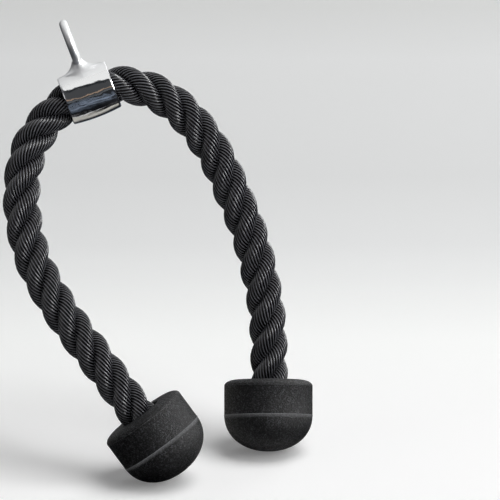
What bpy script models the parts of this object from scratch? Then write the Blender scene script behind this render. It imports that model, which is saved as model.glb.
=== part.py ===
# Triceps rope: a thick three-strand rope through a cast eye sleeve, with a round rubber stopper on each end.
# Metres, +Z up. The origin is the centre of the eye's hole, where the snap hook of a pulley cable pulls.
# The rope stands as an arch in a plane that leans back. In that plane's own frame x runs across,
# y runs up the plane and z comes out of it towards the viewer.

import bpy
import bmesh
import numpy as np
from math import acos, asin, cos, pi, radians, sin, sqrt
from mathutils import Matrix, Vector

MM = 0.001

# Gaps that touching and moving pieces keep
TOUCH_GAP = 0.3 * MM
BEND_GAP = 0.5 * MM
CUT_OVERRUN = 2 * MM

# Rope
ROPE_DIAMETER = 28 * MM
ROPE_POINT_SPACING = 14 * MM
ROPE_SIDES_RESOLUTION = 4
BEND_HEAD_RADIUS = 17 * MM
BEND_HEAD_RINGS = (10, 25, 40)
BEND_FACE_RUN = 3 * MM
SHOULDER_DISTANCE = 50 * MM
MID_BEND_DISTANCE = 160 * MM

# Pose of the arch, in degrees
ARCH_LEAN = 18
SLEEVE_TILT = 20.8
LEFT_STOPPER_SWING = 36.4
LEFT_STOPPER_RISE = 5
RIGHT_STOPPER_SWING = 0
RIGHT_STOPPER_RISE = -3.5

# Eye sleeve, one casting
SLEEVE_LENGTH = 37.2 * MM
SLEEVE_ROPE_ROOM = 1.6 * MM
SLEEVE_WALL = 2.25 * MM
SLEEVE_BELLY = 1.2 * MM
SLEEVE_EDGE_RADIUS = 0.8 * MM
BORE_CHAMFER = 0.8 * MM
EYE_HOLE_RADIUS = 11.5 * MM
EYE_BAR_WIDTH = 7.5 * MM
EYE_BAR_THICKNESS = 6 * MM
EYE_WEB_HEIGHT = 7.6 * MM
NECK_FLARE_HEIGHT = 11 * MM
NECK_SHOULDER_INSET = 1.6 * MM
NECK_HALF_DEPTH = 10.5 * MM
NECK_FILLET_RADIUS = 12 * MM
NECK_TOP_DROP = 0.6 * MM
NECK_ROOT_DEPTH = 4 * MM

# Stopper shells
STOPPER_DIAMETER = 65.5 * MM
COLLAR_HEIGHT = 26.3 * MM
DOME_DEPTH = 26.8 * MM
DOME_FULLNESS = 2.1
COLLAR_EDGE_WIDTH = 9 * MM
COLLAR_EDGE_DROP = 4.6 * MM
COLLAR_MOUTH_RADIUS = 1 * MM
STOPPER_ROPE_ROOM = 1.6 * MM
COLLAR_SEAT_THICKNESS = 12 * MM
CAVITY_SIDE_ROOM = 1 * MM
SPIGOT_HEIGHT = 4 * MM
SPIGOT_WALL = 2.5 * MM
CAVITY_END_ROOM = 2.5 * MM

# How far the rope leans off a stopper's axis at its mouth, along the plane and to the right
LEFT_MOUTH_LEAN = -1 * MM
RIGHT_MOUTH_LEAN = 0.4 * MM

# Steel that ties the rope's end into its stopper
WASHER_THICKNESS = 2.5 * MM
WASHER_OVERHANG = 5.5 * MM
FERRULE_WALL = 3.2 * MM
FERRULE_LENGTH = 18 * MM
FERRULE_CRIMP_DEPTH = 0.9 * MM
FERRULE_CRIMP_WIDTH = 3 * MM
ROPE_END_PROUD = 1 * MM

# How finely round pieces are faceted
STOPPER_SEGMENTS = 36
STEEL_SEGMENTS = 28
SLEEVE_SEGMENTS = 40
EYE_SECTION_SEGMENTS = 14
NECK_SEGMENTS = 28
NECK_STEPS = 7
DOME_STEPS = 9
ARC_STEPS = 4
COLLAR_EDGE_STEPS = 6
SHARP_ANGLE = 32

# The rope's centre line in the arch plane's frame, from stopper to stopper, in millimetres
ROUTE_MM = (
    (36.8, -236.5, 34.2),
    (26.3, -222.9, 35.3),
    (14.0, -206.4, 35.5),
    (1.7, -190.2, 34.5),
    (-10.8, -173.9, 32.5),
    (-22.4, -157.0, 29.6),
    (-33.0, -139.4, 26.2),
    (-41.5, -120.8, 22.3),
    (-46.8, -101.1, 18.2),
    (-49.5, -80.8, 13.9),
    (-48.5, -60.4, 9.8),
    (-43.6, -40.8, 6.0),
    (-32.6, -22.9, 2.8),
    (-17.0, -7.6, 0.7),
    (-0.4, 1.0, 0.0),
    (17.8, 5.5, -0.6),
    (39.5, 3.3, -2.4),
    (58.4, -5.7, -5.2),
    (73.7, -19.1, -8.6),
    (86.2, -35.0, -12.4),
    (96.4, -52.6, -16.2),
    (104.7, -71.4, -19.9),
    (112.6, -90.3, -23.3),
    (119.5, -109.9, -26.3),
    (124.7, -129.9, -28.9),
    (128.9, -150.4, -31.0),
    (131.5, -170.9, -32.4),
    (132.4, -191.6, -32.9),
    (132.4, -212.2, -32.5),
)

# Sizes worked out from those above
ROPE_RADIUS = ROPE_DIAMETER / 2
BORE_RADIUS = ROPE_RADIUS + SLEEVE_ROPE_ROOM
SLEEVE_MOUTH_RADIUS = BORE_RADIUS + SLEEVE_WALL
SLEEVE_BELLY_RADIUS = SLEEVE_MOUTH_RADIUS + SLEEVE_BELLY
EYE_RISE = SLEEVE_BELLY_RADIUS + EYE_WEB_HEIGHT + EYE_HOLE_RADIUS
STOPPER_RADIUS = STOPPER_DIAMETER / 2
COLLAR_BORE_RADIUS = ROPE_RADIUS + STOPPER_ROPE_ROOM
WASHER_RADIUS = COLLAR_BORE_RADIUS + WASHER_OVERHANG
CAVITY_RADIUS = WASHER_RADIUS + CAVITY_SIDE_ROOM
SPIGOT_RADIUS = CAVITY_RADIUS - TOUCH_GAP
DOME_CAVITY_RADIUS = SPIGOT_RADIUS - SPIGOT_WALL
WASHER_TOP = -(COLLAR_SEAT_THICKNESS + TOUCH_GAP)
FERRULE_TOP = WASHER_TOP - WASHER_THICKNESS - TOUCH_GAP
FERRULE_BOTTOM = FERRULE_TOP - FERRULE_LENGTH
ROPE_END = FERRULE_BOTTOM - ROPE_END_PROUD
CAVITY_BOTTOM = ROPE_END - CAVITY_END_ROOM
SEAM_HEIGHT = -COLLAR_HEIGHT


def clear_scene():
    for obj in list(bpy.data.objects):
        bpy.data.objects.remove(obj)


def make_material(name, colour, roughness, metallic=0.0):
    material = bpy.data.materials.new(name)
    material.use_nodes = True
    shader = material.node_tree.nodes["Principled BSDF"]
    shader.inputs["Base Color"].default_value = (*colour, 1.0)
    shader.inputs["Roughness"].default_value = roughness
    shader.inputs["Metallic"].default_value = metallic
    material.diffuse_color = (*colour, 1.0)
    return material


def add_frame(name, parent=None, location=(0, 0, 0), turn=(0, 0, 0)):
    """An empty that other objects are placed in; turn is in radians."""
    frame = bpy.data.objects.new(name, None)
    bpy.context.collection.objects.link(frame)
    frame.parent = parent
    frame.location = location
    frame.rotation_euler = turn
    return frame


def add_mesh(name, bm, material, parent, location=(0, 0, 0), turn=(0, 0, 0)):
    bmesh.ops.recalc_face_normals(bm, faces=bm.faces)
    mesh = bpy.data.meshes.new(name)
    bm.to_mesh(mesh)
    bm.free()
    mesh.materials.append(material)
    mesh.shade_smooth()
    mesh.set_sharp_from_angle(angle=radians(SHARP_ANGLE))
    obj = bpy.data.objects.new(name, mesh)
    bpy.context.collection.objects.link(obj)
    obj.parent = parent
    obj.location = location
    obj.rotation_euler = turn
    return obj


def arc(centre, radius, start, end, steps=ARC_STEPS, height=None):
    """Points of an arc in a (radius, height) profile, oval if it has a height; angles are in degrees."""
    angles = [radians(start + (end - start) * i / steps) for i in range(steps + 1)]
    return [(centre[0] + radius * cos(a), centre[1] + (height or radius) * sin(a)) for a in angles]


def turned(profile, segments, ring=False):
    """A solid turned about Z from (radius, height) points; a ring's profile closes on itself."""
    bm = bmesh.new()
    verts = [bm.verts.new((radius, 0, height)) for radius, height in profile]
    pairs = list(zip(verts, verts[1:]))
    if ring:
        pairs.append((verts[-1], verts[0]))
    edges = [bm.edges.new(pair) for pair in pairs]
    bmesh.ops.spin(
        bm, geom=verts + edges, cent=(0, 0, 0), axis=(0, 0, 1), angle=2 * pi, steps=segments, use_merge=True
    )
    bmesh.ops.remove_doubles(bm, verts=bm.verts, dist=MM / 1000)
    return bm


def combine(obj, tool, operation):
    """Adds or cuts with another object, which is then only a guide."""
    modifier = obj.modifiers.new(tool.name, "BOOLEAN")
    modifier.operation = operation
    modifier.object = tool
    tool.hide_render = True
    tool.display_type = "WIRE"


def spline_through(points, samples=2400):
    """Points of the natural cubic spline through a route, at even steps of its parameter."""
    points = np.array(points)
    chords = np.linalg.norm(np.diff(points, axis=0), axis=1)
    knots = np.concatenate(([0.0], np.cumsum(chords)))
    count = len(points)
    matrix = np.eye(count)
    target = np.zeros((count, 3))
    slopes = np.diff(points, axis=0) / chords[:, None]
    for i in range(1, count - 1):
        matrix[i, i - 1 : i + 2] = chords[i - 1], 2 * (chords[i - 1] + chords[i]), chords[i]
        target[i] = 6 * (slopes[i] - slopes[i - 1])
    bends = np.linalg.solve(matrix, target)
    places = np.linspace(0, knots[-1], samples)
    spans = np.clip(np.searchsorted(knots, places, side="right") - 1, 0, count - 2)
    width = chords[spans][:, None]
    after = (places - knots[spans])[:, None]
    before = width - after
    start, end = points[spans], points[spans + 1]
    bend_start, bend_end = bends[spans], bends[spans + 1]
    return (
        (bend_start * before**3 + bend_end * after**3) / (6 * width)
        + (start / width - bend_start * width / 6) * before
        + (end / width - bend_end * width / 6) * after
    )


class RopeLine:
    """The rope's whole centre line, read by the distance from the sleeve's middle, left negative."""

    def __init__(self, points):
        self.line = spline_through(points)
        steps = np.linalg.norm(np.diff(self.line, axis=0), axis=1)
        self.along = np.concatenate(([0.0], np.cumsum(steps)))
        middle = np.argmin(np.linalg.norm(self.line, axis=1))
        self.along -= self.along[middle]
        self.start, self.end = self.along[0], self.along[-1]

    def at(self, distance):
        return Vector([np.interp(distance, self.along, self.line[:, k]) for k in range(3)])

    def between(self, start, end):
        """Evenly spaced points of the line from start to end, both included."""
        steps = max(1, round(abs(end - start) / ROPE_POINT_SPACING))
        return [self.at(start + (end - start) * i / steps) for i in range(steps + 1)]


def stopper_heading(swing, rise):
    """The way that the rope comes out of a stopper, in the arch plane's frame."""
    swing, rise = radians(swing), radians(rise)
    return Vector((-sin(swing) * cos(rise), cos(swing) * cos(rise), sin(rise)))


def stopper_top(mouth_point, swing, lean):
    """The middle of a stopper's top, which the rope's line leans off at the mouth."""
    return mouth_point - Vector((cos(radians(swing)), sin(radians(swing)), 0)) * lean


def rope_tail(top, heading):
    """The straight stretch inside a stopper, from its buried end up to just under its top."""
    return [top + heading * ROPE_END * share for share in (1.0, 2 / 3, 1 / 3)]


def bend_heading(line, distance, sign):
    """The way that the rope runs into a bend: the chord over the head keeps both stretches in line."""
    return (line.at(distance) - line.at(distance - sign * BEND_HEAD_RADIUS)).normalized()


def bend_head(hinge, heading):
    """The round head that a stretch of rope turns on: its points and their shares of the rope's radius."""
    edge_angle = asin(ROPE_RADIUS / BEND_HEAD_RADIUS)
    angles = [radians(angle) for angle in BEND_HEAD_RINGS] + [edge_angle]
    points = [hinge - heading * BEND_HEAD_RADIUS * cos(angle) for angle in angles]
    shares = [sin(angle) * BEND_HEAD_RADIUS / ROPE_RADIUS for angle in angles]
    return points, shares


def bend_face(hinge, heading):
    """The last short run of the stretch before a bend: it ends flat and square, just clear of the head."""
    face = hinge - heading * (BEND_HEAD_RADIUS + BEND_GAP)
    return [face - heading * BEND_FACE_RUN, face]


def rope_tube(name, points, shares, material, parent, origin):
    """A plain tube along the points, with its object's origin at its joint."""
    curve = bpy.data.curves.new(name, "CURVE")
    curve.dimensions = "3D"
    curve.fill_mode = "FULL"
    curve.bevel_depth = ROPE_RADIUS
    curve.bevel_resolution = ROPE_SIDES_RESOLUTION
    curve.use_fill_caps = True
    spline = curve.splines.new("POLY")
    spline.points.add(len(points) - 1)
    for place, point, share in zip(spline.points, points, shares):
        place.co = (*(point - origin), 1)
        place.radius = share
    curve.materials.append(material)
    tube = bpy.data.objects.new(name, curve)
    bpy.context.collection.objects.link(tube)
    tube.parent = parent
    tube.location = origin
    return tube


def rope_centre(line, material, parent):
    """The stretch that the sleeve holds, out to the first bend on each side."""
    left, right = -SHOULDER_DISTANCE, SHOULDER_DISTANCE
    left_end = bend_face(line.at(left), bend_heading(line, left, -1))
    right_end = bend_face(line.at(right), bend_heading(line, right, 1))
    inner = SHOULDER_DISTANCE - BEND_HEAD_RADIUS - ROPE_POINT_SPACING
    points = left_end[::-1] + line.between(-inner, inner) + right_end
    return rope_tube("rope_centre", points, [1] * len(points), material, parent, Vector())


def rope_leg(side, line, sign, material, parent):
    """The two stretches of one leg: from the shoulder bend to the mid bend, and on into the stopper."""
    shoulder, middle = sign * SHOULDER_DISTANCE, sign * MID_BEND_DISTANCE
    end = line.end if sign > 0 else line.start

    head, shares = bend_head(line.at(shoulder), bend_heading(line, shoulder, sign))
    face = bend_face(line.at(middle), bend_heading(line, middle, sign))
    last = middle - sign * (BEND_HEAD_RADIUS + ROPE_POINT_SPACING)
    points = head + line.between(shoulder, last) + face
    shares = shares + [1] * (len(points) - len(shares))
    upper = rope_tube(f"rope_{side}_upper", points, shares, material, parent, line.at(shoulder))

    head, shares = bend_head(line.at(middle), bend_heading(line, middle, sign))
    points = head + line.between(middle, end)
    shares = shares + [1] * (len(points) - len(shares))
    lower = rope_tube(f"rope_{side}_lower", points, shares, material, parent, line.at(middle))
    return upper, lower


def sleeve_barrel_profile():
    """Half of the barrel's outline, from one end's centre over its belly to the other's."""
    half, edge = SLEEVE_LENGTH / 2, SLEEVE_EDGE_RADIUS
    belly_steps = 8
    span = half - edge
    heights = [span * (2 * i / belly_steps - 1) for i in range(belly_steps + 1)]
    belly = [(SLEEVE_MOUTH_RADIUS + SLEEVE_BELLY * (1 - (z / span) ** 2), z) for z in heights]
    low = arc((SLEEVE_MOUTH_RADIUS - edge, -span), edge, -90, 0)
    high = arc((SLEEVE_MOUTH_RADIUS - edge, span), edge, 0, 90)
    return [(0, -half)] + low[:-1] + belly + high[1:] + [(0, half)]


def sleeve_bore_profile():
    """The rope's way through the barrel, opened out at both mouths."""
    half, outside = SLEEVE_LENGTH / 2, SLEEVE_LENGTH / 2 + CUT_OVERRUN
    flare = BORE_RADIUS + BORE_CHAMFER + CUT_OVERRUN
    inside = half - BORE_CHAMFER
    return [(0, -outside), (flare, -outside), (BORE_RADIUS, -inside)] + [
        (BORE_RADIUS, inside),
        (flare, outside),
        (0, outside),
    ]


def eye_section():
    """The eye's oval bar, as a closed profile about the hole's axis."""
    middle = EYE_HOLE_RADIUS + EYE_BAR_WIDTH / 2
    angles = [2 * pi * i / EYE_SECTION_SEGMENTS for i in range(EYE_SECTION_SEGMENTS)]
    return [(middle + EYE_BAR_WIDTH / 2 * cos(a), EYE_BAR_THICKNESS / 2 * sin(a)) for a in angles]


def neck_half_length(height):
    """How far the neck reaches along the sleeve: it flares to the shoulders in a hollow quarter ellipse."""
    run = SLEEVE_LENGTH / 2 - NECK_SHOULDER_INSET - EYE_BAR_THICKNESS / 2
    top = SLEEVE_MOUTH_RADIUS + NECK_FLARE_HEIGHT
    share = min(1.0, max(0.0, (top - height) / NECK_FLARE_HEIGHT))
    return EYE_BAR_THICKNESS / 2 + run * (1 - sqrt(1 - share**2))


def neck_half_depth(height):
    """How deep the neck is from its middle: a fillet carries it down onto the barrel's round side."""
    centre_depth = NECK_HALF_DEPTH + NECK_FILLET_RADIUS
    centre_height = sqrt((SLEEVE_BELLY_RADIUS + NECK_FILLET_RADIUS) ** 2 - centre_depth**2)
    drop = min(NECK_FILLET_RADIUS, max(0.0, centre_height - height))
    return centre_depth - sqrt(NECK_FILLET_RADIUS**2 - drop**2)


def neck_solid():
    """Oval slices from inside the barrel's wall up into the eye's lower bar."""
    tangent_share = SLEEVE_BELLY_RADIUS / (SLEEVE_BELLY_RADIUS + NECK_FILLET_RADIUS)
    foot = tangent_share * sqrt(
        (SLEEVE_BELLY_RADIUS + NECK_FILLET_RADIUS) ** 2 - (NECK_HALF_DEPTH + NECK_FILLET_RADIUS) ** 2
    )
    top = EYE_RISE - EYE_HOLE_RADIUS - NECK_TOP_DROP
    heights = [foot + (top - foot) * i / NECK_STEPS for i in range(NECK_STEPS + 1)]
    slices = [(neck_half_length(z), neck_half_depth(z), z) for z in heights]
    slices.insert(0, (slices[0][0], slices[0][1], foot - NECK_ROOT_DEPTH))
    bm = bmesh.new()
    bmesh.ops.create_circle(bm, cap_ends=True, segments=NECK_SEGMENTS, radius=1)
    first = Matrix.LocRotScale((0, 0, slices[0][2]), None, (*slices[0][:2], 1))
    bmesh.ops.transform(bm, matrix=first, verts=bm.verts)
    cap, foot_cap = bm.faces[:][0], True
    for (length, depth, z), (next_length, next_depth, next_z) in zip(slices, slices[1:]):
        grown = bmesh.ops.extrude_face_region(bm, geom=[cap])["geom"]
        verts = [item for item in grown if isinstance(item, bmesh.types.BMVert)]
        if not foot_cap:
            bmesh.ops.delete(bm, geom=[cap], context="FACES_ONLY")
        cap, foot_cap = next(item for item in grown if isinstance(item, bmesh.types.BMFace)), False
        bmesh.ops.scale(bm, vec=(next_length / length, next_depth / depth, 1), verts=verts)
        bmesh.ops.translate(bm, vec=(0, 0, next_z - z), verts=verts)
    return bm


def eye_sleeve(material, parent):
    """One casting: a barrel over the rope, a flared neck and an eye whose hole runs the barrel's way."""
    along = (0, pi / 2, 0)
    barrel_form = turned(sleeve_barrel_profile(), SLEEVE_SEGMENTS)
    bore_form = turned(sleeve_bore_profile(), SLEEVE_SEGMENTS)
    barrel = add_mesh("eye_sleeve", barrel_form, material, parent, turn=along)
    eye = add_mesh(
        "eye_ring_guide",
        turned(eye_section(), SLEEVE_SEGMENTS, ring=True),
        material,
        parent,
        location=(0, EYE_RISE, 0),
        turn=along,
    )
    neck = add_mesh("neck_guide", neck_solid(), material, parent, turn=(-pi / 2, 0, 0))
    bore = add_mesh("bore_guide", bore_form, material, parent, turn=along)
    combine(barrel, neck, "UNION")
    combine(barrel, eye, "UNION")
    combine(barrel, bore, "DIFFERENCE")
    return barrel


def collar_profile():
    """The stopper's upper shell: bored for the rope, hollow below its seat, open at the seam."""
    mouth, width, drop = COLLAR_MOUTH_RADIUS, COLLAR_EDGE_WIDTH, COLLAR_EDGE_DROP
    seam = SEAM_HEIGHT + TOUCH_GAP / 2
    outer_edge = arc((STOPPER_RADIUS - width, -drop), width, 90, 0, COLLAR_EDGE_STEPS, drop)
    mouth_edge = arc((COLLAR_BORE_RADIUS + mouth, -mouth), mouth, 180, 90, 2)
    inner = [(COLLAR_BORE_RADIUS, -COLLAR_SEAT_THICKNESS), (CAVITY_RADIUS, -COLLAR_SEAT_THICKNESS)]
    return mouth_edge + outer_edge + [(STOPPER_RADIUS, seam), (CAVITY_RADIUS, seam)] + inner[::-1]


def dome_profile():
    """The lower shell: a full round outside, and a spigot that centres it in the collar."""
    seam = SEAM_HEIGHT - TOUCH_GAP / 2
    power = 2 / DOME_FULLNESS
    angles = [pi / 2 * i / DOME_STEPS for i in range(DOME_STEPS)]
    outside = [(STOPPER_RADIUS * cos(a) ** power, seam - DOME_DEPTH * sin(a) ** power) for a in angles]
    bottom = (0, seam - DOME_DEPTH)
    spigot_top = SEAM_HEIGHT + SPIGOT_HEIGHT
    spigot = [(DOME_CAVITY_RADIUS, spigot_top), (SPIGOT_RADIUS, spigot_top), (SPIGOT_RADIUS, seam)]
    return [(0, CAVITY_BOTTOM), (DOME_CAVITY_RADIUS, CAVITY_BOTTOM)] + spigot + outside + [bottom]


def washer_profile():
    inner = ROPE_RADIUS + TOUCH_GAP
    bottom = WASHER_TOP - WASHER_THICKNESS
    return [(inner, WASHER_TOP), (WASHER_RADIUS, WASHER_TOP), (WASHER_RADIUS, bottom), (inner, bottom)]


def ferrule_profile():
    """A steel tube round the rope's end, squeezed in at two bands."""
    inner = ROPE_RADIUS + TOUCH_GAP
    outer = inner + FERRULE_WALL
    waist, half_band = outer - FERRULE_CRIMP_DEPTH, FERRULE_CRIMP_WIDTH / 2
    profile = [(inner, FERRULE_TOP), (outer, FERRULE_TOP)]
    for share in (1 / 3, 2 / 3):
        centre = FERRULE_TOP - FERRULE_LENGTH * share
        slope = half_band + FERRULE_CRIMP_DEPTH
        profile += [(outer, centre + slope), (waist, centre + half_band)]
        profile += [(waist, centre - half_band), (outer, centre - slope)]
    return profile + [(outer, FERRULE_BOTTOM), (inner, FERRULE_BOTTOM)]


def stopper(side, top, heading, rubber, steel, parent):
    """One end's pieces, turned about the stopper's axis, with heights counted from its top."""
    turn = heading.to_track_quat("Z", "Y").to_euler()
    pieces = (
        ("stopper_collar", collar_profile(), STOPPER_SEGMENTS, True, rubber),
        ("stopper_dome", dome_profile(), STOPPER_SEGMENTS, False, rubber),
        ("thrust_washer", washer_profile(), STEEL_SEGMENTS, True, steel),
        ("end_ferrule", ferrule_profile(), STEEL_SEGMENTS, True, steel),
    )
    for name, profile, segments, ring, material in pieces:
        form = turned(profile, segments, ring)
        add_mesh(f"{side}_{name}", form, material, parent, location=top, turn=turn)


def build():
    clear_scene()
    chrome = make_material("polished_chrome", (0.78, 0.78, 0.8), 0.08, 1.0)
    rope_black = make_material("black_rope", (0.02, 0.02, 0.021), 0.55)
    rubber = make_material("black_rubber", (0.03, 0.031, 0.033), 0.8)
    steel = make_material("zinc_steel", (0.55, 0.56, 0.58), 0.35, 1.0)

    eye_centre = Vector((-sin(radians(SLEEVE_TILT)), cos(radians(SLEEVE_TILT)), 0)) * EYE_RISE
    lean = Matrix.Rotation(radians(90 - ARCH_LEAN), 4, "X")
    arch = add_frame("arch_frame", location=-(lean @ eye_centre), turn=lean.to_euler())
    sleeve = add_frame("sleeve_frame", parent=arch, turn=(0, 0, radians(SLEEVE_TILT)))
    eye_sleeve(chrome, sleeve)

    route = [Vector(point) * MM for point in ROUTE_MM]
    left_heading = stopper_heading(LEFT_STOPPER_SWING, LEFT_STOPPER_RISE)
    right_heading = stopper_heading(RIGHT_STOPPER_SWING, RIGHT_STOPPER_RISE)
    left_top = stopper_top(route[0], LEFT_STOPPER_SWING, LEFT_MOUTH_LEAN)
    right_top = stopper_top(route[-1], RIGHT_STOPPER_SWING, RIGHT_MOUTH_LEAN)
    left_tail = rope_tail(left_top, left_heading)
    right_tail = rope_tail(right_top, right_heading)[::-1]
    line = RopeLine(left_tail + route + right_tail)

    rope_centre(line, rope_black, arch)
    rope_leg("left", line, -1, rope_black, arch)
    rope_leg("right", line, 1, rope_black, arch)
    stopper("left", left_top, left_heading, rubber, steel, arch)
    stopper("right", right_top, right_heading, rubber, steel, arch)


build()
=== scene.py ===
from math import cos, pi, radians, sin, sqrt

import bmesh
import bpy
import numpy as np
from mathutils import Matrix, Vector


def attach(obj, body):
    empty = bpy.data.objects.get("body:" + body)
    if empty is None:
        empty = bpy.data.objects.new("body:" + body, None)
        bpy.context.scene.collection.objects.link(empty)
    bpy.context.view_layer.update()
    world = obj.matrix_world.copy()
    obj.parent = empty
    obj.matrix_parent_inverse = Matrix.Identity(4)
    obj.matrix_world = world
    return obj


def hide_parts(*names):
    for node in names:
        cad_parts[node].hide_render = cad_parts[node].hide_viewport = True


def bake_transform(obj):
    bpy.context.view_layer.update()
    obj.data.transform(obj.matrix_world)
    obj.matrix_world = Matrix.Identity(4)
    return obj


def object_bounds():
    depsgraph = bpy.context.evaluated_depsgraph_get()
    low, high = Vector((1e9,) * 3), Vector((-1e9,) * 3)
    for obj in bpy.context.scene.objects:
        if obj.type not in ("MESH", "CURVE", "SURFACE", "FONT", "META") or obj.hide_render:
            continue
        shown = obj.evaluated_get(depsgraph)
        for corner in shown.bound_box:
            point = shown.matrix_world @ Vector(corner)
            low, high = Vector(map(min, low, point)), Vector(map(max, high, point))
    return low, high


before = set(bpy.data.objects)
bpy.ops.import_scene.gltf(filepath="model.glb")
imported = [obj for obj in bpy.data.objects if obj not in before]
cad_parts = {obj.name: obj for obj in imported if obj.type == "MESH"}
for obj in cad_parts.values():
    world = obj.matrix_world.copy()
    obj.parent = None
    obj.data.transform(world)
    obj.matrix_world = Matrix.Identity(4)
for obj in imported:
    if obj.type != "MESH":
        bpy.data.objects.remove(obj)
cadBox = [list(corner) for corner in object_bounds()]
mm = 0.001


# how the object stands: the rope's arch lies in a plane that leans back, and the camera faces that plane
stance = {
    "leanBack": 18,  # degrees
    "sleeveTilt": 20.8,
    "eyeRise": 38.15 * mm,  # from the sleeve's middle to the eye's
    "leftStopperSwing": 36.4,
    "leftStopperRise": 5,
    "leftMouthLean": -1 * mm,  # how far the rope leans off the stopper's axis at its mouth
    "rightStopperSwing": 0,
    "rightStopperRise": -3.5,
    "rightMouthLean": 0.4 * mm,
}

leanTurn = Matrix.Rotation(radians(90 - stance["leanBack"]), 4, "X")
tiltTurn = Matrix.Rotation(radians(stance["sleeveTilt"]), 4, "Z")
eyeCentre = tiltTurn @ Vector((0, stance["eyeRise"], 0))
archPlace = Matrix.Translation(-(leanTurn @ eyeCentre)) @ leanTurn  # arch plane to the model's own axes
sleevePlace = archPlace @ tiltTurn


# the camera looks square at the arch's plane from far off
view = {
    "distance": 6.0,
    "frameWidth": 368.5 * mm,  # what the picture spans at the arch's plane
    "centre": (118.4 * mm, -116.0 * mm),  # the picture's centre, from the sleeve's middle
    "sensor": 36.0,
    "farthest": 50,
}

camera = bpy.data.objects.new("camera", bpy.data.cameras.new("camera"))
bpy.context.collection.objects.link(camera)
camera.data.sensor_width = view["sensor"]
camera.data.lens = view["sensor"] * view["distance"] / view["frameWidth"]
camera.data.clip_end = view["farthest"]
camera.matrix_world = archPlace @ Matrix.Translation((*view["centre"], view["distance"]))
bpy.context.scene.camera = camera
print("camera set")


# small helpers
noiseRange = {"From Min": 0.3, "From Max": 0.7}  # nearly all of a noise's values lie in it


def hexColour(text):
    # an sRGB hex value as linear light, with alpha
    parts = [int(text[i : i + 2], 16) / 255 for i in (1, 3, 5)]
    return (*[p / 12.92 if p <= 0.04045 else ((p + 0.055) / 1.055) ** 2.4 for p in parts], 1.0)


def addNode(tree, kind, settings=None, inputs=None):
    # one node with its settings; an input is a value or another node's socket
    node = tree.nodes.new(kind)
    for name, value in (settings or {}).items():
        setattr(node, name, value)
    for name, value in (inputs or {}).items():
        if isinstance(value, bpy.types.NodeSocket):
            tree.links.new(value, node.inputs[name])
        else:
            node.inputs[name].default_value = value
    return node


def startMaterial(name):
    # an empty material and its output node
    material = bpy.data.materials.new(name)
    material.use_nodes = True
    tree = material.node_tree
    tree.nodes.clear()
    output = addNode(tree, "ShaderNodeOutputMaterial")
    return material, tree, output


def setRamp(node, stops):
    ramp = node.color_ramp
    while len(ramp.elements) > 1:
        ramp.elements.remove(ramp.elements[-1])
    ramp.elements[0].position, ramp.elements[0].color = stops[0]
    for place, colour in stops[1:]:
        ramp.elements.new(place).color = colour


def finishPiece(name, mesh, material, body, replaced=()):
    # a piece at the origin, riding on its body
    mesh.materials.clear()
    mesh.materials.append(material)
    piece = bpy.data.objects.new(name, mesh)
    bpy.context.collection.objects.link(piece)
    if body:
        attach(piece, body)
    if replaced:
        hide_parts(*replaced)
    return piece


def spinProfile(profile, segments, closed=False):
    # a solid turned about Z from (radius, height) points
    bm = bmesh.new()
    verts = [bm.verts.new((radius, 0, height)) for radius, height in profile]
    pairs = list(zip(verts, verts[1:])) + ([(verts[-1], verts[0])] if closed else [])
    edges = [bm.edges.new(pair) for pair in pairs]
    turn = {"cent": (0, 0, 0), "axis": (0, 0, 1), "angle": 2 * pi, "steps": segments, "use_merge": True}
    bmesh.ops.spin(bm, geom=verts + edges, **turn)
    bmesh.ops.remove_doubles(bm, verts=bm.verts, dist=mm / 1000)
    bmesh.ops.recalc_face_normals(bm, faces=bm.faces)
    return bm


def arcPoints(centre, radius, start, end, steps, height=None):
    # oval where a height is given
    angles = [radians(start + (end - start) * i / steps) for i in range(steps + 1)]
    return [(centre[0] + radius * cos(a), centre[1] + (height or radius) * sin(a)) for a in angles]


def bmeshToMesh(bm, name, place=None, sharpAngle=40):
    if place is not None:
        bm.transform(place)
    mesh = bpy.data.meshes.new(name)
    bm.to_mesh(mesh)
    bm.free()
    mesh.shade_smooth()
    mesh.set_sharp_from_angle(angle=radians(sharpAngle))
    return mesh


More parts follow.
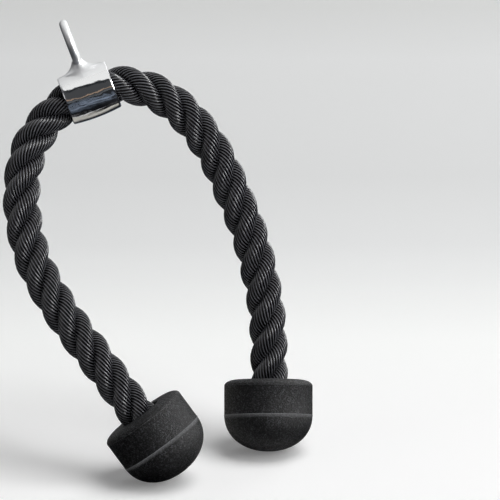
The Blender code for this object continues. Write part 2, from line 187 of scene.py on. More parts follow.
# materials
def polypropyleneYarn():
    # polypropylene multifilament, twisted and black all through: a deep black with a silky shine along each
    # yarn's crown, broken up by its filaments, a painted highlight on each crown and painted shade in the
    # grooves
    look = {
        # the pale colour is a painted highlight on the yarns' crowns, the darker one that painted highlight
        # in dimmer patches, and the near black painted shade in the grooves
        "crownPaintedHighlight": "#84858C",
        "paintedGrooveShade": "#010101",
        "dimCrownHighlight": "#2C2D30",
        "crownHighlightPower": 8.0,  # higher makes the painted crown highlight narrower
        "filament": 0.5 * mm,  # real filaments are 0.05 mm, too fine to show
        "draw": 0.14,  # how much slower the pattern changes along a yarn than across it
        "patch": 7 * mm,  # where the painted crown highlight is brighter or dimmer
        "roughness": (0.16, 0.3),
        "relief": 0.1 * mm,
        "reliefStrength": 0.3,
        "ior": 1.47,
    }
    material, tree, output = startMaterial("polypropyleneYarn")
    crownPaintedHighlight = addNode(tree, "ShaderNodeAttribute", {"attribute_name": "yarnCrown"}).outputs["Fac"]
    place = addNode(tree, "ShaderNodeAttribute", {"attribute_name": "yarnPlace"}).outputs["Vector"]
    drawn = addNode(tree, "ShaderNodeMapping", None, {"Vector": place, "Scale": (1, 1, look["draw"])})
    patches = {"Vector": place, "Scale": 1 / look["patch"], "Detail": 3.0}
    patch = addNode(tree, "ShaderNodeTexNoise", None, patches)
    filaments = {"Vector": drawn.outputs["Vector"], "Scale": 1 / look["filament"], "Detail": 2.0}
    fine = addNode(tree, "ShaderNodeTexNoise", None, filaments)
    tone = addNode(
        tree,
        "ShaderNodeMix",
        {"data_type": "RGBA"},
        {"Factor": patch.outputs["Fac"], "A": hexColour(look["crownPaintedHighlight"]), "B": hexColour(look["dimCrownHighlight"])},
    )
    # painted highlight on the crowns over painted shade in the grooves
    lit = addNode(tree, "ShaderNodeMath", {"operation": "POWER"}, {0: crownPaintedHighlight, 1: look["crownHighlightPower"]})
    colour = addNode(
        tree,
        "ShaderNodeMix",
        {"data_type": "RGBA"},
        {"Factor": lit.outputs[0], "A": hexColour(look["paintedGrooveShade"]), "B": tone.outputs["Result"]},
    )
    low, high = look["roughness"]
    spread = {"Value": fine.outputs["Fac"], **noiseRange, "To Min": low, "To Max": high}
    rough = addNode(tree, "ShaderNodeMapRange", None, spread)
    raised = {"Height": fine.outputs["Fac"], "Strength": look["reliefStrength"], "Distance": look["relief"]}
    bump = addNode(tree, "ShaderNodeBump", None, raised)
    surface = {
        "Base Color": colour.outputs["Result"],
        "Roughness": rough.outputs["Result"],
        "Normal": bump.outputs["Normal"],
    }
    shader = addNode(tree, "ShaderNodeBsdfPrincipled", None, surface)
    shader.inputs["IOR"].default_value = look["ior"]
    tree.links.new(shader.outputs["BSDF"], output.inputs["Surface"])
    return material


def mouldedRubber():
    # SBR rubber, compression moulded in a spark-eroded tool: near black, with a sandpaper grain whose grits
    # carry painted glints as specks, more of them in some patches, and a painted highlight along the flash
    look = {
        "dark": "#060607",
        # painted glints on the grits
        "paintedSpeckGlint": "#444549",
        # a painted highlight along the flash's tip
        "paintedFlashHighlight": "#B6B7BA",
        "grit": 0.78 * mm,  # the real grain is about 0.5 mm, drawn coarser so that it shows
        "speckPower": 5.0,  # higher leaves fewer painted glints
        "patch": 14 * mm,
        "patchShare": (0.6, 0.95),  # how strongly the painted glints show, by patch
        "roughness": (0.7, 0.42),  # from the dullest grit to the brightest
        "speckRise": 0.7,  # of a speck, beside the fine grain's 1
        "relief": 0.7 * mm,
        "reliefStrength": 1.0,
        "ior": 1.45,
    }
    material, tree, output = startMaterial("mouldedRubber")
    place = addNode(tree, "ShaderNodeTexCoord").outputs["Object"]
    paintedFlashHighlight = addNode(tree, "ShaderNodeAttribute", {"attribute_name": "paintedFlashHighlight"}).outputs["Fac"]
    grits = {"Vector": place, "Scale": 1 / look["grit"], "Detail": 2.0, "Roughness": 0.6}
    grit = addNode(tree, "ShaderNodeTexNoise", None, grits)
    specks = addNode(tree, "ShaderNodeTexVoronoi", None, {"Vector": place, "Scale": 1 / look["grit"]})
    patches = {"Vector": place, "Scale": 1 / look["patch"], "Detail": 3.0}
    patch = addNode(tree, "ShaderNodeTexNoise", None, patches)
    chance = addNode(tree, "ShaderNodeSeparateColor", None, {"Color": specks.outputs["Color"]}).outputs["Red"]
    bright = addNode(tree, "ShaderNodeMath", {"operation": "POWER"}, {0: chance, 1: look["speckPower"]})
    low, high = look["patchShare"]
    spread = {"Value": patch.outputs["Fac"], **noiseRange, "To Min": low, "To Max": high}
    glintPatchShare = addNode(tree, "ShaderNodeMapRange", None, spread)
    shares = {0: bright.outputs[0], 1: glintPatchShare.outputs["Result"]}
    shown = addNode(tree, "ShaderNodeMath", {"operation": "MULTIPLY"}, shares)
    # the near black grain with painted glints on its grits
    grainAndGlints = addNode(
        tree,
        "ShaderNodeMix",
        {"data_type": "RGBA"},
        {"Factor": shown.outputs[0], "A": hexColour(look["dark"]), "B": hexColour(look["paintedSpeckGlint"])},
    )
    # a painted highlight along the flash, broken up by the grain
    flashHighlightShare = addNode(tree, "ShaderNodeMath", {"operation": "MULTIPLY"}, {0: paintedFlashHighlight, 1: grit.outputs["Fac"]})
    colour = addNode(
        tree,
        "ShaderNodeMix",
        {"data_type": "RGBA"},
        {"Factor": flashHighlightShare.outputs[0], "A": grainAndGlints.outputs["Result"], "B": hexColour(look["paintedFlashHighlight"])},
    )
    grains = {0: bright.outputs[0], 1: look["speckRise"], 2: grit.outputs["Fac"]}
    height = addNode(tree, "ShaderNodeMath", {"operation": "MULTIPLY_ADD"}, grains)
    raised = {"Height": height.outputs[0], "Strength": look["reliefStrength"], "Distance": look["relief"]}
    bump = addNode(tree, "ShaderNodeBump", None, raised)
    dull, shiny = look["roughness"]
    rough = addNode(tree, "ShaderNodeMapRange", None, {"Value": chance, "To Min": dull, "To Max": shiny})
    surface = {
        "Base Color": colour.outputs["Result"],
        "Roughness": rough.outputs["Result"],
        "Normal": bump.outputs["Normal"],
    }
    shader = addNode(tree, "ShaderNodeBsdfPrincipled", None, surface)
    shader.inputs["IOR"].default_value = look["ior"]
    tree.links.new(shader.outputs["BSDF"], output.inputs["Surface"])
    return material


def platedCasting():
    # bright chrome over a cast body: a hard mirror round the barrel, where the buffing wheel reaches, and a
    # softer satin shine above, up the neck and round the eye, all a little wavy from the casting
    look = {
        "metal": "#EEEFF0",
        "swim": 9 * mm,  # the casting's broad waves
        "polish": 1.2 * mm,  # the wheel's fine marks
        "polishDepth": 0.05,  # beside the broad waves' 1
        "polishHaze": 0.06,  # roughness that the marks add
        "mirror": 0.04,
        "satin": 0.5,
        "relief": 0.8 * mm,
        "reliefStrength": 0.5,
    }
    material, tree, output = startMaterial("platedCasting")
    place = addNode(tree, "ShaderNodeTexCoord").outputs["Object"]
    buffed = addNode(tree, "ShaderNodeAttribute", {"attribute_name": "buffed"}).outputs["Fac"]
    broad = {"Vector": place, "Scale": 1 / look["swim"], "Detail": 1.0}
    swim = addNode(tree, "ShaderNodeTexNoise", None, broad)
    close = {"Vector": place, "Scale": 1 / look["polish"], "Detail": 3.0}
    polish = addNode(tree, "ShaderNodeTexNoise", None, close)
    gloss = {"Value": buffed, "To Min": look["satin"], "To Max": look["mirror"]}
    finish = addNode(tree, "ShaderNodeMapRange", None, gloss)
    haze = {0: polish.outputs["Fac"], 1: look["polishHaze"], 2: finish.outputs["Result"]}
    rough = addNode(tree, "ShaderNodeMath", {"operation": "MULTIPLY_ADD"}, haze)
    waves = {0: polish.outputs["Fac"], 1: look["polishDepth"], 2: swim.outputs["Fac"]}
    wavy = addNode(tree, "ShaderNodeMath", {"operation": "MULTIPLY_ADD"}, waves)
    raised = {"Height": wavy.outputs[0], "Strength": look["reliefStrength"], "Distance": look["relief"]}
    bump = addNode(tree, "ShaderNodeBump", None, raised)
    surface = {
        "Base Color": hexColour(look["metal"]),
        "Roughness": rough.outputs[0],
        "Normal": bump.outputs["Normal"],
    }
    shader = addNode(tree, "ShaderNodeBsdfPrincipled", None, surface)
    shader.inputs["Metallic"].default_value = 1.0
    tree.links.new(shader.outputs["BSDF"], output.inputs["Surface"])
    return material


def zincPlate():
    # turned steel under bright zinc: pale grey, a little uneven in its shine
    look = {"metal": "#B9BCC0", "mottle": 0.8 * mm, "roughness": (0.28, 0.42)}
    material, tree, output = startMaterial("zincPlate")
    place = addNode(tree, "ShaderNodeTexCoord").outputs["Object"]
    spots = {"Vector": place, "Scale": 1 / look["mottle"], "Detail": 2.0}
    mottle = addNode(tree, "ShaderNodeTexNoise", None, spots)
    low, high = look["roughness"]
    spread = {"Value": mottle.outputs["Fac"], **noiseRange, "To Min": low, "To Max": high}
    rough = addNode(tree, "ShaderNodeMapRange", None, spread)
    surface = {"Base Color": hexColour(look["metal"]), "Roughness": rough.outputs["Result"]}
    shader = addNode(tree, "ShaderNodeBsdfPrincipled", None, surface)
    shader.inputs["Metallic"].default_value = 1.0
    tree.links.new(shader.outputs["BSDF"], output.inputs["Surface"])
    return material


yarnBlack = polypropyleneYarn()
rubberBlack = mouldedRubber()
chrome = platedCasting()
zinc = zincPlate()
print("materials made")


# the rope: strands of twisted yarns, laid right-handed, along the route that the solids follow
rope = {
    "diameter": 28 * mm,
    "strands": 3,
    "lay": 66 * mm,  # rope length for one turn of a strand
    "strandRadius": 6.6 * mm,
    "yarns": 13,  # ribs round a strand
    "yarnLay": 34 * mm,  # strand length for one turn of its yarns, the other way round
    "ribDepth": 1.12 * mm,
    "ribUnevenness": 0.07 * mm,
    "ribScatter": 2.4,  # picks which yarns stand out
    "pointsPerYarn": 7,
    "step": 0.9 * mm,
    "cordStep": 4 * mm,  # between the points of a cord's declared path
    "shoulder": 50 * mm,  # from the sleeve's middle to the first bend's axis
    "shoulderReach": 30 * mm,  # the bend is spread this far each way
    "middle": 160 * mm,
    "middleReach": 40 * mm,
    "change": 100 * mm,  # where the upper piece hands over to the lower
    "changeReach": 12 * mm,
}

# centre line in the arch's plane, x across, y up and z towards the viewer, from stopper to stopper
routeMm = (
    (36.8, -236.5, 34.2),
    (26.3, -222.9, 35.3),
    (14.0, -206.4, 35.5),
    (1.7, -190.2, 34.5),
    (-10.8, -173.9, 32.5),
    (-22.4, -157.0, 29.6),
    (-33.0, -139.4, 26.2),
    (-41.5, -120.8, 22.3),
    (-46.8, -101.1, 18.2),
    (-49.5, -80.8, 13.9),
    (-48.5, -60.4, 9.8),
    (-43.6, -40.8, 6.0),
    (-32.6, -22.9, 2.8),
    (-17.0, -7.6, 0.7),
    (-0.4, 1.0, 0.0),
    (17.8, 5.5, -0.6),
    (39.5, 3.3, -2.4),
    (58.4, -5.7, -5.2),
    (73.7, -19.1, -8.6),
    (86.2, -35.0, -12.4),
    (96.4, -52.6, -16.2),
    (104.7, -71.4, -19.9),
    (112.6, -90.3, -23.3),
    (119.5, -109.9, -26.3),
    (124.7, -129.9, -28.9),
    (128.9, -150.4, -31.0),
    (131.5, -170.9, -32.4),
    (132.4, -191.6, -32.9),
    (132.4, -212.2, -32.5),
)

# how far the strands have slipped along from an even lay, by distance from the sleeve's middle, in mm
strandSlipMm = ((-290, 3.2), (-150, 3.6), (-60, 5.2), (40, 4.2), (160, 2.6), (290, -0.5))

# the stopper's own sizes, which the rope's buried ends and both shells share
stopper = {
    "radius": 32.75 * mm,
    "collarHeight": 26.3 * mm,
    "domeDepth": 26.8 * mm,
    "fullness": 2.1,  # of the dome's outline, where 2 is an ellipse
    "edgeWidth": 9 * mm,  # the collar's top edge is an oval round
    "edgeDrop": 4.6 * mm,
    "mouthRadius": 1.2 * mm,
    "boreRadius": 15.6 * mm,
    "seatThickness": 12 * mm,
    "cavityRadius": 22.1 * mm,
    "spigotRadius": 21.8 * mm,
    "domeCavityRadius": 19.3 * mm,
    "spigotHeight": 4 * mm,
    "ropeEnd": 34.1 * mm,  # below the stopper's top
    "cavityBottom": 36.6 * mm,
    "seamGap": 0.04 * mm,  # between the two shells
    "flash": 0.3 * mm,  # how far the mould's flash stands out at the seam
    "flashWidth": 0.26 * mm,
    "collarFlash": (0.8, 0.3),  # on the way to the seam: share of its reach, at this share of its width
    "domeFlash": (0.6, 0.4),
    "shoulderFlash": 0.12 * mm,  # and where the mould's top plate met its wall
    "shoulderDrop": 0.2,  # of the flash's width
    "mouthSteps": 6,
    "edgeSteps": 18,
    "domeSteps": 33,
    "segments": 128,
}


def splineThrough(points, samples=6000):
    # places on the natural cubic spline through the points
    points = np.array(points, float)
    chords = np.linalg.norm(np.diff(points, axis=0), axis=1)
    knots = np.concatenate(([0.0], np.cumsum(chords)))
    count = len(points)
    matrix, target = np.eye(count), np.zeros((count, 3))
    slopes = np.diff(points, axis=0) / chords[:, None]
    for i in range(1, count - 1):
        matrix[i, i - 1 : i + 2] = chords[i - 1], 2 * (chords[i - 1] + chords[i]), chords[i]
        target[i] = 6 * (slopes[i] - slopes[i - 1])
    bends = np.linalg.solve(matrix, target)
    places = np.linspace(0, knots[-1], samples)
    spans = np.clip(np.searchsorted(knots, places, side="right") - 1, 0, count - 2)
    width = chords[spans][:, None]
    after = (places - knots[spans])[:, None]
    before = width - after
    start, end, bendStart, bendEnd = points[spans], points[spans + 1], bends[spans], bends[spans + 1]
    return (
        (bendStart * before**3 + bendEnd * after**3) / (6 * width)
        + (start / width - bendStart * width / 6) * before
        + (end / width - bendEnd * width / 6) * after
    )


def stopperHeading(swing, rise):
    # the way that a stopper's top faces: swing turns it in the arch's plane, rise lifts it out of that plane
    swing, rise = radians(swing), radians(rise)
    return Vector((-sin(swing) * cos(rise), cos(swing) * cos(rise), sin(rise)))


def stopperTop(mouthPoint, swing, lean):
    # the middle of a stopper's top, which the rope leans off at the mouth
    return mouthPoint - Vector((cos(radians(swing)), sin(radians(swing)), 0)) * lean


route = [Vector(point) * mm for point in routeMm]
leftHeading = stopperHeading(stance["leftStopperSwing"], stance["leftStopperRise"])
rightHeading = stopperHeading(stance["rightStopperSwing"], stance["rightStopperRise"])
leftTop = stopperTop(route[0], stance["leftStopperSwing"], stance["leftMouthLean"])
rightTop = stopperTop(route[-1], stance["rightStopperSwing"], stance["rightMouthLean"])
leftTail = [leftTop - leftHeading * stopper["ropeEnd"] * share for share in (1.0, 2 / 3, 1 / 3)]
rightTail = [rightTop - rightHeading * stopper["ropeEnd"] * share for share in (1 / 3, 2 / 3, 1.0)]
line = splineThrough(leftTail + route + rightTail)
along = np.concatenate(([0.0], np.cumsum(np.linalg.norm(np.diff(line, axis=0), axis=1))))
along -= along[np.argmin(np.linalg.norm(line, axis=1))]  # counted from the sleeve's middle, left negative


def strandCentres(stations, angle):
    # one strand's helix round the centre line, in the arch's plane
    centre = np.stack([np.interp(stations, along, line[:, k]) for k in range(3)], 1)
    tangent = np.gradient(centre, stations, axis=0)
    tangent /= np.linalg.norm(tangent, axis=1)[:, None]
    across = np.cross((0, 0, 1), tangent)
    across /= np.linalg.norm(across, axis=1)[:, None]
    out = np.cross(tangent, across)
    slip = np.interp(stations / mm, *zip(*strandSlipMm)) * mm
    turn = 2 * pi * (stations - slip) / rope["lay"] + angle
    reach = rope["diameter"] / 2 - rope["strandRadius"]
    return centre + reach * (np.cos(turn)[:, None] * across + np.sin(turn)[:, None] * out), turn


def yarnProfile():
    # a strand's outline: one low round rib for each yarn
    curve = bpy.data.curves.new("yarnProfile", "CURVE")
    spline = curve.splines.new("POLY")
    count = rope["yarns"] * rope["pointsPerYarn"]
    spline.points.add(count - 1)
    for i, point in enumerate(spline.points):
        yarn, place = divmod(i, rope["pointsPerYarn"])
        across = 2 * place / rope["pointsPerYarn"] - 1
        unevenness = rope["ribUnevenness"] * sin(rope["ribScatter"] * yarn * yarn) * (1 - across**2)
        radius = rope["strandRadius"] - rope["ribDepth"] * across**2 + unevenness
        angle = 2 * pi * i / count
        point.co = (radius * cos(angle), radius * sin(angle), 0, 1)
    spline.use_cyclic_u = True
    profile = bpy.data.objects.new("yarnProfile", curve)
    bpy.context.collection.objects.link(profile)
    return profile


def strandMesh(index, profile, stations):
    # the profile swept along the helix; its tilt lays the yarns the other way round
    centres, turn = strandCentres(stations, 2 * pi * index / rope["strands"])
    lengths = np.concatenate(([0.0], np.cumsum(np.linalg.norm(np.diff(centres, axis=0), axis=1))))
    curve = bpy.data.curves.new("strand", "CURVE")
    curve.dimensions = "3D"
    curve.twist_mode = "MINIMUM"
    curve.bevel_mode = "OBJECT"
    curve.bevel_object = profile
    spline = curve.splines.new("POLY")
    spline.points.add(len(stations) - 1)
    spline.points.foreach_set("co", np.c_[centres, np.ones(len(centres))].ravel())
    spline.points.foreach_set("tilt", -2 * pi * lengths / rope["yarnLay"])
    strand = bpy.data.objects.new("strand", curve)
    bpy.context.collection.objects.link(strand)
    bpy.context.view_layer.update()
    solid = strand.evaluated_get(bpy.context.evaluated_depsgraph_get())
    mesh = bpy.data.meshes.new_from_object(solid)
    bpy.data.objects.remove(strand)

    # how near each point is to its yarn's crown, which carries the painted highlight and keeps the painted
    # shade to the grooves
    ring = rope["yarns"] * rope["pointsPerYarn"]
    number = np.arange(len(mesh.vertices))
    across = 2 * (number % rope["pointsPerYarn"]) / rope["pointsPerYarn"] - 1
    crownPaintedHighlight = mesh.attributes.new("yarnCrown", "FLOAT", "POINT")
    crownPaintedHighlight.data.foreach_set("value", (1 - across**2).astype(np.float32))

    # where each point lies on the strand as if it hung straight, for patterns that follow the yarns
    angle = 2 * pi * (number % ring) / ring
    reach = rope["strandRadius"]
    straight = np.stack((reach * np.cos(angle), reach * np.sin(angle), lengths[number // ring] + index), 1)
    place = mesh.attributes.new("yarnPlace", "FLOAT_VECTOR", "POINT")
    place.data.foreach_set("vector", straight.astype(np.float32).ravel())
    return mesh, turn, ring


def cutRope(meshes, turns, ring, stations, start, end):
    # the stretch from start to end; where it meets another piece each strand is cut at its turn to the back
    whole = bmesh.new()
    for mesh, turn in zip(meshes, turns):
        limits = []
        for place in (start, end):
            near = np.abs(stations - place)
            if abs(abs(place) - rope["change"]) < mm:
                back = np.cos(turn + pi / 2)  # 1 where the strand lies on the arch's back
                best = np.where(near <= rope["changeReach"], back, -2)  # -2 is under any cosine
                limits.append(int(np.argmax(best)))
            else:
                limits.append(int(np.argmin(near)))
        low, high = sorted(limits)
        bm = bmesh.new()
        bm.from_mesh(mesh)
        bm.verts.ensure_lookup_table()
        outside = bm.verts[: low * ring] + bm.verts[(high + 1) * ring :]
        bmesh.ops.delete(bm, geom=outside, context="VERTS")
        rims = [edge for edge in bm.edges if len(edge.link_faces) == 1]
        caps = bmesh.ops.holes_fill(bm, edges=rims, sides=0)["faces"]
        for face in bm.faces:
            face.smooth = True
        for face in caps:
            for edge in face.edges:
                edge.smooth = False
        part = bpy.data.meshes.new("part")
        bm.to_mesh(part)
        bm.free()
        whole.from_mesh(part)
        bpy.data.meshes.remove(part)
    whole.transform(archPlace)
    bmesh.ops.recalc_face_normals(whole, faces=whole.faces)
    joined = bpy.data.meshes.new("rope")
    whole.to_mesh(joined)
    whole.free()
    return joined


def makeRope():
    stations = np.arange(along[0], along[-1] + rope["step"] / 2, rope["step"])
    profile = yarnProfile()
    made = [strandMesh(index, profile, stations) for index in range(rope["strands"])]
    bpy.data.objects.remove(profile)
    meshes, turns, ring = [m[0] for m in made], [m[1] for m in made], made[0][2]
    for side, sign in (("left", -1), ("right", 1)):
        end = along[-1] if sign > 0 else along[0]
        stretches = (
            ("Upper", 0, sign * rope["change"], "shoulder", "sleeve", f"{side}_upper"),
            ("Lower", sign * rope["change"], end, "middle", f"{side}_upper", f"{side}_lower"),
        )
        for level, start, stop, bend, fixed, moving in stretches:
            mesh = cutRope(meshes, turns, ring, stations, start, stop)
            piece = finishPiece(f"{side}Rope{level}", mesh, yarnBlack, None)
            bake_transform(piece)
            replaced = [f"rope_{side}_{level.lower()}"] + (["rope_centre"] if level == "Upper" else [])
            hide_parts(*replaced)
            print(f"{piece.name}: {len(mesh.polygons)} faces")


makeRope()
print("rope laid")


# the sleeve: one casting, modelled from turned and drawn-out forms, melted together and polished
sleeve = {
    "length": 37.2 * mm,
    "boreRadius": 15.6 * mm,
    "mouthRadius": 17.85 * mm,
    "bellyRadius": 19.05 * mm,
    "edgeRadius": 0.8 * mm,
    "edgeSteps": 4,
    "barrelRings": 25,
    "boreFlare": 0.9 * mm,
    "boreOver": 2 * mm,  # how far the bore's cutter stands out at each end
    "eyeHole": 11.5 * mm,
    "eyeWidth": 7.5 * mm,
    "eyeThickness": 6.0 * mm,
    "eyePoints": 32,  # round the bar
    "neckDepth": 11.2 * mm,  # half of it, front to back
    "neckFlare": (12.5 * mm, 9 * mm),  # left and right
    "neckTaper": (0.6 * mm, 1.7 * mm),  # what the neck gains on each side before it flares
    "neckTaperHeight": 23 * mm,
    "neckInset": 1.6 * mm,  # its foot ends this far inside the barrel's mouths
    "neckFillet": 16 * mm,
    "neckClear": 0.6 * mm,  # from the neck's top to the eye's hole
    "neckRoot": 4 * mm,  # how far the neck goes down inside the barrel
    "neckSlices": 22,
    "neckSegments": 64,
    "grown": 0.18 * mm,  # what the polishing takes off again
    "voxel": 0.36 * mm,
    "polishPasses": 22,
    "polishFactor": 0.5,
    "buffedTo": (8 * mm, 15 * mm),  # above the bore's axis, mirror to satin
    "segments": 96,
}


def barrelForm():
    # a full body, a little barrelled, with rounded ends
    half, edge = sleeve["length"] / 2 + sleeve["grown"], sleeve["edgeRadius"]
    span = half - edge
    belly = sleeve["bellyRadius"] - sleeve["mouthRadius"]
    rim = sleeve["mouthRadius"] + sleeve["grown"]
    heights = np.linspace(-span, span, sleeve["barrelRings"])
    middle = [(rim + belly * (1 - (z / span) ** 2), z) for z in heights]
    low = arcPoints((rim - edge, -span), edge, -90, 0, sleeve["edgeSteps"])
    high = arcPoints((rim - edge, span), edge, 0, 90, sleeve["edgeSteps"])
    return spinProfile([(0, -half)] + low[:-1] + middle + high[1:] + [(0, half)], sleeve["segments"])


def boreForm():
    # the cutter for the rope's bore, flared at both mouths
    half, over = sleeve["length"] / 2, sleeve["boreOver"]
    bore, flare = sleeve["boreRadius"] - sleeve["grown"], sleeve["boreFlare"]
    profile = [(0, -half - over), (bore + flare + over, -half - over), (bore, -half + flare)]
    profile += [(bore, half - flare), (bore + flare + over, half + over), (0, half + over)]
    return spinProfile(profile, sleeve["segments"])


def eyeForm():
    # an even ring of an oval bar
    middle = sleeve["eyeHole"] + sleeve["eyeWidth"] / 2
    wide, thick = sleeve["eyeWidth"] / 2 + sleeve["grown"], sleeve["eyeThickness"] / 2 + sleeve["grown"]
    angles = np.linspace(0, 2 * pi, sleeve["eyePoints"] + 1)[:-1]
    profile = [(middle + wide * cos(a), thick * sin(a)) for a in angles]
    return spinProfile(profile, sleeve["segments"], closed=True)


def neckForm():
    # oval slices drawn up from the barrel's shoulders into the eye's lower bar
    barrel, fillet = sleeve["bellyRadius"], sleeve["neckFillet"]
    centreDepth = sleeve["neckDepth"] + fillet
    centreHeight = sqrt((barrel + fillet) ** 2 - centreDepth**2)
    foot = centreHeight * barrel / (barrel + fillet)
    top = stance["eyeRise"] - sleeve["eyeHole"] - sleeve["neckClear"]
    thin = sleeve["eyeThickness"] / 2
    run = sleeve["length"] / 2 - sleeve["neckInset"] - thin
    slices = []  # half width, half depth, height and shift of each
    for height in np.linspace(foot, top, sleeve["neckSlices"]):
        above = height - sleeve["mouthRadius"]
        early = min(1.0, max(0.0, 1 - above / sleeve["neckTaperHeight"]))
        sides = []
        for flare, taper in zip(sleeve["neckFlare"], sleeve["neckTaper"]):
            share = min(1.0, max(0.0, 1 - above / flare))
            sides.append(thin + taper * early**2 * (1 - share**2) + run * (1 - sqrt(1 - share**2)))
        left, right = sides
        drop = min(fillet, max(0.0, centreHeight - height))
        depth = centreDepth - sqrt(fillet**2 - drop**2)
        slices.append(((left + right) / 2, depth, height, (right - left) / 2))
    slices.insert(0, (*slices[0][:2], foot - sleeve["neckRoot"], slices[0][3]))
    bm = bmesh.new()
    bmesh.ops.create_circle(bm, cap_ends=True, segments=sleeve["neckSegments"], radius=1)
    first = Matrix.LocRotScale((slices[0][3], 0, slices[0][2]), None, (*slices[0][:2], 1))
    bmesh.ops.transform(bm, matrix=first, verts=bm.verts)
    cap = bm.faces[:][0]
    for step, (now, after) in enumerate(zip(slices, slices[1:])):
        grown = bmesh.ops.extrude_face_region(bm, geom=[cap])["geom"]
        verts = [item for item in grown if isinstance(item, bmesh.types.BMVert)]
        if step:
            bmesh.ops.delete(bm, geom=[cap], context="FACES_ONLY")
        cap = next(item for item in grown if isinstance(item, bmesh.types.BMFace))
        middle = Matrix.Translation((-now[3], 0, 0))
        bmesh.ops.scale(bm, vec=(after[0] / now[0], after[1] / now[1], 1), space=middle, verts=verts)
        bmesh.ops.translate(bm, vec=(after[3] - now[3], 0, after[2] - now[2]), verts=verts)
    bmesh.ops.recalc_face_normals(bm, faces=bm.faces)
    return bm


def makeSleeve():
    alongX = Matrix.Rotation(pi / 2, 4, "Y")
    forms = (
        ("barrel", barrelForm(), alongX),
        ("neck", neckForm(), Matrix.Rotation(-pi / 2, 4, "X")),
        ("eye", eyeForm(), Matrix.Translation((0, stance["eyeRise"], 0)) @ alongX),
        ("bore", boreForm(), alongX),
    )
    raw = {}
    for name, bm, place in forms:
        raw[name] = bpy.data.objects.new(name, bmeshToMesh(bm, name, place))
        bpy.context.collection.objects.link(raw[name])
    casting = raw["barrel"]
    for name, operation in (("neck", "UNION"), ("eye", "UNION"), ("bore", "DIFFERENCE")):
        cut = casting.modifiers.new(name, "BOOLEAN")
        cut.operation, cut.object = operation, raw[name]
    melt = casting.modifiers.new("melt", "REMESH")
    melt.mode, melt.voxel_size = "VOXEL", sleeve["voxel"]
    rub = casting.modifiers.new("polish", "SMOOTH")
    rub.factor, rub.iterations = sleeve["polishFactor"], sleeve["polishPasses"]
    bpy.context.view_layer.update()
    mesh = bpy.data.meshes.new_from_object(casting.evaluated_get(bpy.context.evaluated_depsgraph_get()))
    for item in raw.values():
        bpy.data.objects.remove(item)
    spots = np.empty(len(mesh.vertices) * 3, np.float32)
    mesh.vertices.foreach_get("co", spots)
    buffed = mesh.attributes.new("buffed", "FLOAT", "POINT")
    buffed.data.foreach_set("value", np.interp(spots[1::3], sleeve["buffedTo"], (1, 0)).astype(np.float32))
    mesh.transform(sleevePlace)
    mesh.shade_smooth()
    print("sleeveCasting:", len(mesh.polygons), "faces")
    finishPiece("sleeveCasting", mesh, chrome, "sleeve", ["eye_sleeve"])


makeSleeve()
print("sleeve cast")


# the stoppers: a bored collar over a full round dome, each with the mould's flash at the seam
def collarProfile():
    # radius and height of the upper shell, from the bore's mouth round to its seat
    rim, mouth, bore = stopper["radius"], stopper["mouthRadius"], stopper["boreRadius"]
    width, drop = stopper["edgeWidth"], stopper["edgeDrop"]
    seam = -stopper["collarHeight"] + stopper["seamGap"] / 2
    cavity, seat = stopper["cavityRadius"], -stopper["seatThickness"]
    flash, flashWidth, shoulder = stopper["flash"], stopper["flashWidth"], stopper["shoulderFlash"]
    mouthEdge = arcPoints((bore + mouth, -mouth), mouth, 180, 90, stopper["mouthSteps"])
    outerEdge = arcPoints((rim - width, -drop), width, 90, 0, stopper["edgeSteps"], drop)
    shoulderTop = -drop - stopper["shoulderDrop"] * flashWidth
    shoulderLine = [(rim + shoulder, shoulderTop), (rim, -drop - flashWidth)]
    out, up = stopper["collarFlash"]
    wall = [(rim, seam + flashWidth), (rim + flash * out, seam + up * flashWidth), (rim + flash, seam)]
    return mouthEdge + outerEdge + shoulderLine + wall + [(cavity, seam), (cavity, seat), (bore, seat)]


def domeProfile():
    # the lower shell: its cavity, the spigot that enters the collar, the flash and the full round outside
    rim, depth = stopper["radius"], stopper["domeDepth"]
    seam = -stopper["collarHeight"] - stopper["seamGap"] / 2
    power = 2 / stopper["fullness"]
    spigotTop = -stopper["collarHeight"] + stopper["spigotHeight"]
    bottom, cavity, spigot = -stopper["cavityBottom"], stopper["domeCavityRadius"], stopper["spigotRadius"]
    inner = [(0, bottom), (cavity, bottom), (cavity, spigotTop), (spigot, spigotTop), (spigot, seam)]
    over, (out, down) = stopper["flash"], stopper["domeFlash"]
    flash = [(rim + over, seam), (rim + over * out, seam - down * stopper["flashWidth"])]
    angles = np.linspace(0, pi / 2, stopper["domeSteps"] + 1)[2:-1]  # the first two make way for the flash
    outside = [(rim * cos(a) ** power, seam - depth * sin(a) ** power) for a in angles]
    return inner + flash + outside + [(0, seam - depth)]


def makeStopper(side, top, heading):
    place = archPlace @ Matrix.Translation(top) @ heading.to_track_quat("Z", "Y").to_matrix().to_4x4()
    for part, profile, closed in (("Collar", collarProfile(), True), ("Dome", domeProfile(), False)):
        bm = spinProfile(profile, stopper["segments"], closed)
        mesh = bmeshToMesh(bm, f"stopper{part}", None, sharpAngle=50)
        spots = np.empty(len(mesh.vertices) * 3, np.float32)
        mesh.vertices.foreach_get("co", spots)
        # 1 at the flash's tip, where the rubber gets a painted highlight
        away = np.hypot(spots[0::3], spots[1::3]) - stopper["radius"]
        paintedFlashHighlight = mesh.attributes.new("paintedFlashHighlight", "FLOAT", "POINT")
        paintedFlashHighlight.data.foreach_set("value", np.clip(away / stopper["flash"], 0, 1).astype(np.float32))
        mesh.transform(place)
        node = f"{side}_stopper_{part.lower()}"
        finishPiece(f"{side}Stopper{part}", mesh, rubberBlack, f"{side}_stopper", [node])
    for node in (f"{side}_thrust_washer", f"{side}_end_ferrule"):
        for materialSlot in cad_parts[node].material_slots:
            materialSlot.material = zinc


makeStopper("left", leftTop, leftHeading)
makeStopper("right", rightTop, rightHeading)
print("stoppers moulded")


